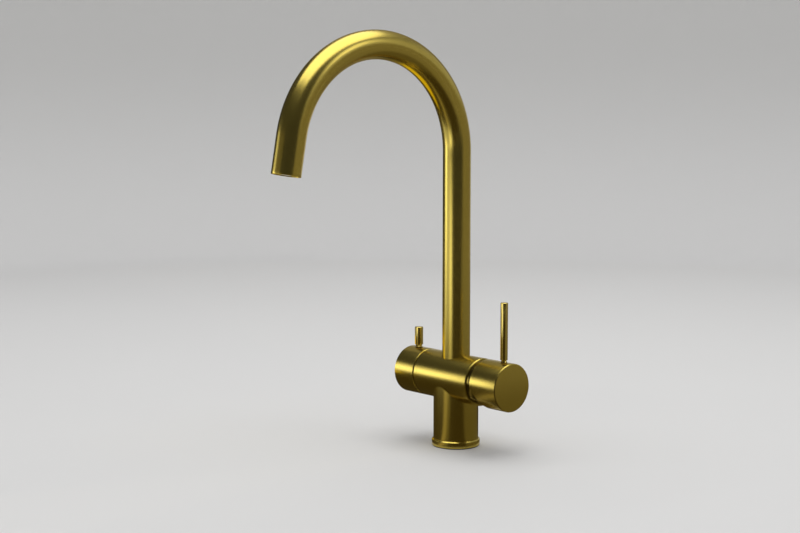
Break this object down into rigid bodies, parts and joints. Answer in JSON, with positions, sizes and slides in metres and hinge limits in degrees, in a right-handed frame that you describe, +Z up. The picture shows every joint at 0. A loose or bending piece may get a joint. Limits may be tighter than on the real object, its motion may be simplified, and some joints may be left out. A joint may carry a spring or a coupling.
{
  "type": "three way filtered kitchen tap",
  "caption": "Single-hole kitchen tap in brushed brass with a swivelling swan-neck spout, a mixing lever on one side and a filtered water lever on the other.",
  "frame": {"origin": "centre of the tap's base, on top of the deck, on the axis of the deck hole", "axes": "+Z up along the column, +X along the barrel towards the mixing lever, -Y the way the spout reaches over the sink"},
  "size_m": [0.148, 0.2509, 0.4758],
  "materials": {
    "brushed_brass": "satin",
    "polished_brass": "gloss",
    "raw_brass": "satin",
    "steel": "satin",
    "rubber": "matte",
    "dark_plastic": "matte",
    "white_plastic": "satin",
    "ceramic": "satin"
  },
  "bodies": {
    "tap_body": {"body_casting": "brushed_brass", "base_ring": "brushed_brass", "base_gasket": "rubber", "threaded_shank": "raw_brass", "rubber_washer": "rubber", "clamp_washer": "steel", "lock_nut": "raw_brass", "hot_inlet": "raw_brass", "cold_inlet": "raw_brass", "filtered_inlet": "raw_brass", "spout_retaining_screw": "steel", "cartridge_seal": "rubber", "cartridge_base": "white_plastic", "mixer_fixed_disc": "ceramic", "cartridge_shell": "dark_plastic", "cartridge_nut": "raw_brass", "cartridge_shroud": "brushed_brass", "filter_valve_seal": "rubber", "filter_valve_body": "raw_brass", "filter_fixed_disc": "ceramic"},
    "spout": {"spout_tube": "brushed_brass", "spout_connector": "raw_brass", "spout_o_ring_lower": "rubber", "spout_o_ring_upper": "rubber", "spout_glide_ring": "white_plastic", "filtered_water_tube": "white_plastic", "filtered_tube_seal": "rubber", "aerator_seal": "rubber", "aerator_housing": "raw_brass", "aerator_insert": "white_plastic", "filtered_nozzle": "white_plastic"},
    "mixer_rotor": {"cartridge_rotor": "white_plastic", "spindle_pin": "steel"},
    "mixer_handle": {"cartridge_spindle": "steel", "mixer_knob": "brushed_brass", "mixer_lever": "polished_brass", "mixer_grub_screw": "steel", "mixer_screw_plug": "brushed_brass"},
    "mixer_disc": {"disc_slider": "white_plastic", "mixer_moving_disc": "ceramic"},
    "filter_handle": {"filter_spindle": "raw_brass", "filter_moving_disc": "ceramic", "filter_knob": "brushed_brass", "filter_lever": "polished_brass", "filter_grub_screw": "steel", "filter_screw_plug": "brushed_brass"}
  },
  "joints": [
    {"name": "spout_swivel", "type": "hinge", "parent": "tap_body", "child": "spout", "pos_m": [0, 0, 0.08], "axis": [0, 0, 1], "range_deg": [-180, 180]},
    {"name": "mixer_turn", "type": "hinge", "parent": "tap_body", "child": "mixer_rotor", "pos_m": [0.04, 0, 0.0696], "axis": [1, 0, 0], "range_deg": [-45, 45]},
    {"name": "mixer_tilt", "type": "hinge", "parent": "mixer_rotor", "child": "mixer_handle", "pos_m": [0.04, 0, 0.0696], "axis": [0, 1, 0], "range_deg": [0, 25]},
    {"name": "mixer_disc_slide", "type": "slide", "parent": "mixer_rotor", "child": "mixer_disc", "axis": [0, 0, 1], "range_m": [0, 0.0045]},
    {"name": "filter_turn", "type": "hinge", "parent": "tap_body", "child": "filter_handle", "pos_m": [-0.04, 0, 0.0696], "axis": [1, 0, 0], "range_deg": [0, 90]}
  ],
  "couplings": [
    {"joint": "mixer_disc_slide", "follows": "mixer_tilt", "m_per_rad": 0.01027}
  ]
}
